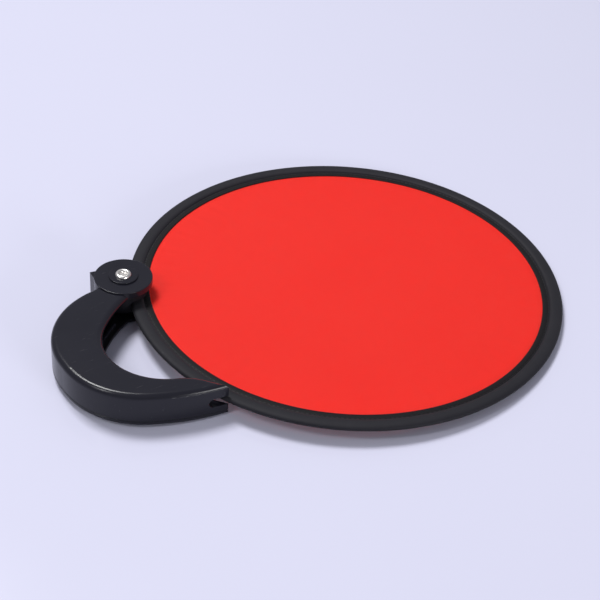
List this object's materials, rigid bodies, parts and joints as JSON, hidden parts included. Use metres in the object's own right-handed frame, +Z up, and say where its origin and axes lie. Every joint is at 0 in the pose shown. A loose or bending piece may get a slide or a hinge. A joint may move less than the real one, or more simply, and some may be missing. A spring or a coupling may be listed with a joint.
{
  "type": "collapsible reflector disc",
  "caption": "Taut red fabric disc in a sprung, black-bound rim, swinging on a riveted crescent grip with a finger gap and a notched tip.",
  "frame": {"origin": "under the middle of the whole open object, on the plane the grip lies on", "axes": "+X from the grip to the disc's far edge, +Z up out of the disc, +Y towards the pivot's end of the grip"},
  "size_m": [0.3032, 0.25, 0.0234],
  "materials": {
    "grip_plastic": "satin moulded black",
    "rivet_nickel": "bright nickel plate",
    "washer_nylon": "natural nylon",
    "panel_fabric": "fine plain weave with a slight sheen",
    "binding_fabric": "black woven binding tape, stitched",
    "spring_steel": "blued spring strip",
    "clip_plastic": "plain moulded black"
  },
  "bodies": {
    "handle": {"handle_upper_shell": "grip_plastic", "handle_lower_shell": "grip_plastic", "pivot_rivet": "rivet_nickel", "rivet_tail_washer": "rivet_nickel", "friction_washer_upper": "washer_nylon", "friction_washer_lower": "washer_nylon"},
    "disc": {"fabric_panel": "panel_fabric", "rim_binding": "binding_fabric", "spring_ring": "spring_steel", "ring_ferrule": "spring_steel", "clip_upper_jaw": "clip_plastic", "clip_lower_jaw": "clip_plastic", "clip_pin_front": "spring_steel", "clip_pin_back": "spring_steel"}
  },
  "joints": [
    {"name": "disc_swing", "type": "hinge", "parent": "handle", "child": "disc", "pos_m": [-0.089, 0.0545, 0.01], "axis": [0, 0, 1], "range_deg": [0, 70]}
  ]
}
